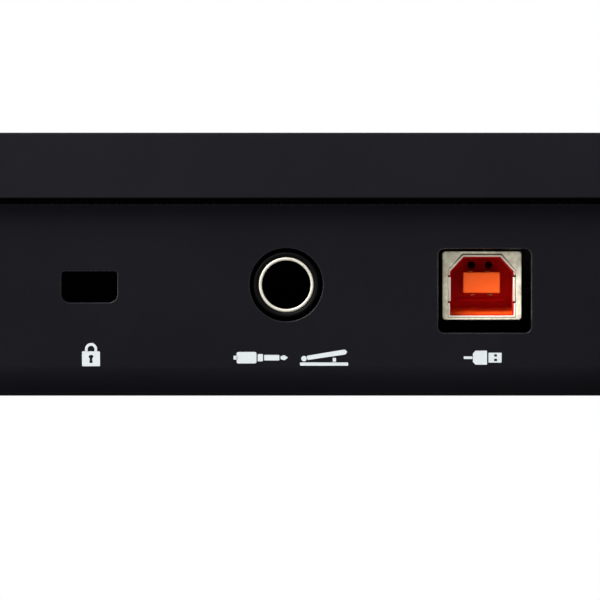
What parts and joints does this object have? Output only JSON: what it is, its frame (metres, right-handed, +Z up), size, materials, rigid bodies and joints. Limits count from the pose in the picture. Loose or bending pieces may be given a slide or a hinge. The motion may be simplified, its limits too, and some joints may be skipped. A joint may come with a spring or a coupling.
{
  "type": "digital piano on stand",
  "caption": "Compact digital piano with slim sprung keys, rear lock slot, pedal and data sockets, on a folding X-stand with clamp knob.",
  "frame": {"origin": "on the floor, under the middle of the stand and of the instrument", "axes": "+X the player's right, +Y away from the player, towards the rear sockets, +Z up"},
  "size_m": [0.431, 0.38, 0.7431],
  "materials": {
    "white_key": "satin gloss",
    "black_key": "fine matt",
    "lower_case": "fine spark texture",
    "rear_panel": "fine spark texture",
    "top_cover": "fine spark texture",
    "key_frame": "plain moulded",
    "steel": "ground",
    "silicone": "matt",
    "circuit_board": "solder resist",
    "nickel_shell": "nickel plated, slightly mottled",
    "port_insert": "gloss",
    "jack_body": "plain moulded",
    "jack_metal": "nickel plated",
    "steel_plate": "black zinc",
    "speaker": "paper and moulded frame",
    "grille": "fine black powder coat",
    "foot_rubber": "matt",
    "screw_steel": "zinc plated",
    "control": "fine matt",
    "stand_tube": "black powder coat",
    "clutch": "black powder coat",
    "stand_rubber": "matt",
    "bolt_steel": "zinc plated",
    "hand_knob": "moulded, matt"
  },
  "bodies": {
    "stand_left": {"left_leg": "stand_tube", "left_clutch": "clutch", "left_rubbers": "stand_rubber", "pivot_bolt": "bolt_steel"},
    "stand_right": {"right_leg": "stand_tube", "right_clutch": "clutch", "right_rubbers": "stand_rubber"},
    "hand_knob": {"clamp_knob": "hand_knob"},
    "piano": {"bottom_case": "lower_case", "rear_panel": "rear_panel", "top_cover": "top_cover", "key_frame": "key_frame", "key_rod": "steel", "contact_strip": "silicone", "circuit_boards": "circuit_board", "usb_shell": "nickel_shell", "usb_insert": "port_insert", "pedal_jack": "jack_body", "jack_sleeve": "jack_metal", "lock_plate": "steel_plate", "speakers": "speaker", "speaker_grilles": "grille", "case_feet": "foot_rubber", "case_screws": "screw_steel"},
    "volume": {"volume_knob": "control"},
    "power": {"power_button": "control"},
    "voice_down": {"voice_down_button": "control"},
    "voice_up": {"voice_up_button": "control"},
    "key_f3": {"key_f3": "white_key"},
    "key_g3": {"key_g3": "white_key"},
    "key_a3": {"key_a3": "white_key"},
    "key_b3": {"key_b3": "white_key"},
    "key_c4": {"key_c4": "white_key"},
    "key_d4": {"key_d4": "white_key"},
    "key_e4": {"key_e4": "white_key"},
    "key_f4": {"key_f4": "white_key"},
    "key_g4": {"key_g4": "white_key"},
    "key_a4": {"key_a4": "white_key"},
    "key_b4": {"key_b4": "white_key"},
    "key_c5": {"key_c5": "white_key"},
    "key_d5": {"key_d5": "white_key"},
    "key_e5": {"key_e5": "white_key"},
    "key_f5": {"key_f5": "white_key"},
    "key_g5": {"key_g5": "white_key"},
    "key_a5": {"key_a5": "white_key"},
    "key_b5": {"key_b5": "white_key"},
    "key_c6": {"key_c6": "white_key"},
    "key_f_sharp3": {"key_f_sharp3": "black_key"},
    "key_g_sharp3": {"key_g_sharp3": "black_key"},
    "key_a_sharp3": {"key_a_sharp3": "black_key"},
    "key_c_sharp4": {"key_c_sharp4": "black_key"},
    "key_d_sharp4": {"key_d_sharp4": "black_key"},
    "key_f_sharp4": {"key_f_sharp4": "black_key"},
    "key_g_sharp4": {"key_g_sharp4": "black_key"},
    "key_a_sharp4": {"key_a_sharp4": "black_key"},
    "key_c_sharp5": {"key_c_sharp5": "black_key"},
    "key_d_sharp5": {"key_d_sharp5": "black_key"},
    "key_f_sharp5": {"key_f_sharp5": "black_key"},
    "key_g_sharp5": {"key_g_sharp5": "black_key"},
    "key_a_sharp5": {"key_a_sharp5": "black_key"}
  },
  "joints": [
    {"name": "fold_stand", "type": "hinge", "parent": "stand_left", "child": "stand_right", "pos_m": [0, 0, 0.3976], "axis": [0, 1, 0], "range_deg": [0, 47]},
    {"name": "instrument_lift", "type": "slide", "parent": "stand_left", "child": "piano", "axis": [0, 0, 1], "range_m": [0, 0.25]},
    {"name": "clamp_turn", "type": "hinge", "parent": "stand_left", "child": "hand_knob", "pos_m": [0, -0.04, 0.3976], "axis": [0, 1, 0], "range_deg": [0, 270]},
    {"name": "dial_volume", "type": "hinge", "parent": "piano", "child": "volume", "pos_m": [0.088, 0.076, 0.738], "axis": [0, 0, -1], "range_deg": [-150, 150]},
    {"name": "button_power", "type": "slide", "parent": "piano", "child": "power", "axis": [0, 0, -1], "range_m": [0, 0.0008], "stiffness_N_per_m": 300, "springref_m": -0.001},
    {"name": "button_voice_down", "type": "slide", "parent": "piano", "child": "voice_down", "axis": [0, 0, -1], "range_m": [0, 0.0008], "stiffness_N_per_m": 300, "springref_m": -0.001},
    {"name": "button_voice_up", "type": "slide", "parent": "piano", "child": "voice_up", "axis": [0, 0, -1], "range_m": [0, 0.0008], "stiffness_N_per_m": 300, "springref_m": -0.001},
    {"name": "key_f3", "type": "hinge", "parent": "piano", "child": "key_f3", "pos_m": [0, 0.052, 0.7205], "axis": [1, 0, 0], "range_deg": [0, 2.8], "stiffness_Nm_per_rad": 0.5, "springref_deg": -5.73},
    {"name": "key_g3", "type": "hinge", "parent": "piano", "child": "key_g3", "pos_m": [0, 0.052, 0.7205], "axis": [1, 0, 0], "range_deg": [0, 2.8], "stiffness_Nm_per_rad": 0.5, "springref_deg": -5.73},
    {"name": "key_a3", "type": "hinge", "parent": "piano", "child": "key_a3", "pos_m": [0, 0.052, 0.7205], "axis": [1, 0, 0], "range_deg": [0, 2.8], "stiffness_Nm_per_rad": 0.5, "springref_deg": -5.73},
    {"name": "key_b3", "type": "hinge", "parent": "piano", "child": "key_b3", "pos_m": [0, 0.052, 0.7205], "axis": [1, 0, 0], "range_deg": [0, 2.8], "stiffness_Nm_per_rad": 0.5, "springref_deg": -5.73},
    {"name": "key_c4", "type": "hinge", "parent": "piano", "child": "key_c4", "pos_m": [0, 0.052, 0.7205], "axis": [1, 0, 0], "range_deg": [0, 2.8], "stiffness_Nm_per_rad": 0.5, "springref_deg": -5.73},
    {"name": "key_d4", "type": "hinge", "parent": "piano", "child": "key_d4", "pos_m": [0, 0.052, 0.7205], "axis": [1, 0, 0], "range_deg": [0, 2.8], "stiffness_Nm_per_rad": 0.5, "springref_deg": -5.73},
    {"name": "key_e4", "type": "hinge", "parent": "piano", "child": "key_e4", "pos_m": [0, 0.052, 0.7205], "axis": [1, 0, 0], "range_deg": [0, 2.8], "stiffness_Nm_per_rad": 0.5, "springref_deg": -5.73},
    {"name": "key_f4", "type": "hinge", "parent": "piano", "child": "key_f4", "pos_m": [0, 0.052, 0.7205], "axis": [1, 0, 0], "range_deg": [0, 2.8], "stiffness_Nm_per_rad": 0.5, "springref_deg": -5.73},
    {"name": "key_g4", "type": "hinge", "parent": "piano", "child": "key_g4", "pos_m": [0, 0.052, 0.7205], "axis": [1, 0, 0], "range_deg": [0, 2.8], "stiffness_Nm_per_rad": 0.5, "springref_deg": -5.73},
    {"name": "key_a4", "type": "hinge", "parent": "piano", "child": "key_a4", "pos_m": [0, 0.052, 0.7205], "axis": [1, 0, 0], "range_deg": [0, 2.8], "stiffness_Nm_per_rad": 0.5, "springref_deg": -5.73},
    {"name": "key_b4", "type": "hinge", "parent": "piano", "child": "key_b4", "pos_m": [0, 0.052, 0.7205], "axis": [1, 0, 0], "range_deg": [0, 2.8], "stiffness_Nm_per_rad": 0.5, "springref_deg": -5.73},
    {"name": "key_c5", "type": "hinge", "parent": "piano", "child": "key_c5", "pos_m": [0, 0.052, 0.7205], "axis": [1, 0, 0], "range_deg": [0, 2.8], "stiffness_Nm_per_rad": 0.5, "springref_deg": -5.73},
    {"name": "key_d5", "type": "hinge", "parent": "piano", "child": "key_d5", "pos_m": [0, 0.052, 0.7205], "axis": [1, 0, 0], "range_deg": [0, 2.8], "stiffness_Nm_per_rad": 0.5, "springref_deg": -5.73},
    {"name": "key_e5", "type": "hinge", "parent": "piano", "child": "key_e5", "pos_m": [0, 0.052, 0.7205], "axis": [1, 0, 0], "range_deg": [0, 2.8], "stiffness_Nm_per_rad": 0.5, "springref_deg": -5.73},
    {"name": "key_f5", "type": "hinge", "parent": "piano", "child": "key_f5", "pos_m": [0, 0.052, 0.7205], "axis": [1, 0, 0], "range_deg": [0, 2.8], "stiffness_Nm_per_rad": 0.5, "springref_deg": -5.73},
    {"name": "key_g5", "type": "hinge", "parent": "piano", "child": "key_g5", "pos_m": [0, 0.052, 0.7205], "axis": [1, 0, 0], "range_deg": [0, 2.8], "stiffness_Nm_per_rad": 0.5, "springref_deg": -5.73},
    {"name": "key_a5", "type": "hinge", "parent": "piano", "child": "key_a5", "pos_m": [0, 0.052, 0.7205], "axis": [1, 0, 0], "range_deg": [0, 2.8], "stiffness_Nm_per_rad": 0.5, "springref_deg": -5.73},
    {"name": "key_b5", "type": "hinge", "parent": "piano", "child": "key_b5", "pos_m": [0, 0.052, 0.7205], "axis": [1, 0, 0], "range_deg": [0, 2.8], "stiffness_Nm_per_rad": 0.5, "springref_deg": -5.73},
    {"name": "key_c6", "type": "hinge", "parent": "piano", "child": "key_c6", "pos_m": [0, 0.052, 0.7205], "axis": [1, 0, 0], "range_deg": [0, 2.8], "stiffness_Nm_per_rad": 0.5, "springref_deg": -5.73},
    {"name": "key_f_sharp3", "type": "hinge", "parent": "piano", "child": "key_f_sharp3", "pos_m": [0, 0.052, 0.7205], "axis": [1, 0, 0], "range_deg": [0, 2.8], "stiffness_Nm_per_rad": 0.5, "springref_deg": -5.73},
    {"name": "key_g_sharp3", "type": "hinge", "parent": "piano", "child": "key_g_sharp3", "pos_m": [0, 0.052, 0.7205], "axis": [1, 0, 0], "range_deg": [0, 2.8], "stiffness_Nm_per_rad": 0.5, "springref_deg": -5.73},
    {"name": "key_a_sharp3", "type": "hinge", "parent": "piano", "child": "key_a_sharp3", "pos_m": [0, 0.052, 0.7205], "axis": [1, 0, 0], "range_deg": [0, 2.8], "stiffness_Nm_per_rad": 0.5, "springref_deg": -5.73},
    {"name": "key_c_sharp4", "type": "hinge", "parent": "piano", "child": "key_c_sharp4", "pos_m": [0, 0.052, 0.7205], "axis": [1, 0, 0], "range_deg": [0, 2.8], "stiffness_Nm_per_rad": 0.5, "springref_deg": -5.73},
    {"name": "key_d_sharp4", "type": "hinge", "parent": "piano", "child": "key_d_sharp4", "pos_m": [0, 0.052, 0.7205], "axis": [1, 0, 0], "range_deg": [0, 2.8], "stiffness_Nm_per_rad": 0.5, "springref_deg": -5.73},
    {"name": "key_f_sharp4", "type": "hinge", "parent": "piano", "child": "key_f_sharp4", "pos_m": [0, 0.052, 0.7205], "axis": [1, 0, 0], "range_deg": [0, 2.8], "stiffness_Nm_per_rad": 0.5, "springref_deg": -5.73},
    {"name": "key_g_sharp4", "type": "hinge", "parent": "piano", "child": "key_g_sharp4", "pos_m": [0, 0.052, 0.7205], "axis": [1, 0, 0], "range_deg": [0, 2.8], "stiffness_Nm_per_rad": 0.5, "springref_deg": -5.73},
    {"name": "key_a_sharp4", "type": "hinge", "parent": "piano", "child": "key_a_sharp4", "pos_m": [0, 0.052, 0.7205], "axis": [1, 0, 0], "range_deg": [0, 2.8], "stiffness_Nm_per_rad": 0.5, "springref_deg": -5.73},
    {"name": "key_c_sharp5", "type": "hinge", "parent": "piano", "child": "key_c_sharp5", "pos_m": [0, 0.052, 0.7205], "axis": [1, 0, 0], "range_deg": [0, 2.8], "stiffness_Nm_per_rad": 0.5, "springref_deg": -5.73},
    {"name": "key_d_sharp5", "type": "hinge", "parent": "piano", "child": "key_d_sharp5", "pos_m": [0, 0.052, 0.7205], "axis": [1, 0, 0], "range_deg": [0, 2.8], "stiffness_Nm_per_rad": 0.5, "springref_deg": -5.73},
    {"name": "key_f_sharp5", "type": "hinge", "parent": "piano", "child": "key_f_sharp5", "pos_m": [0, 0.052, 0.7205], "axis": [1, 0, 0], "range_deg": [0, 2.8], "stiffness_Nm_per_rad": 0.5, "springref_deg": -5.73},
    {"name": "key_g_sharp5", "type": "hinge", "parent": "piano", "child": "key_g_sharp5", "pos_m": [0, 0.052, 0.7205], "axis": [1, 0, 0], "range_deg": [0, 2.8], "stiffness_Nm_per_rad": 0.5, "springref_deg": -5.73},
    {"name": "key_a_sharp5", "type": "hinge", "parent": "piano", "child": "key_a_sharp5", "pos_m": [0, 0.052, 0.7205], "axis": [1, 0, 0], "range_deg": [0, 2.8], "stiffness_Nm_per_rad": 0.5, "springref_deg": -5.73}
  ],
  "couplings": [
    {"joint": "instrument_lift", "follows": "fold_stand", "m_per_rad": 0.3}
  ]
}
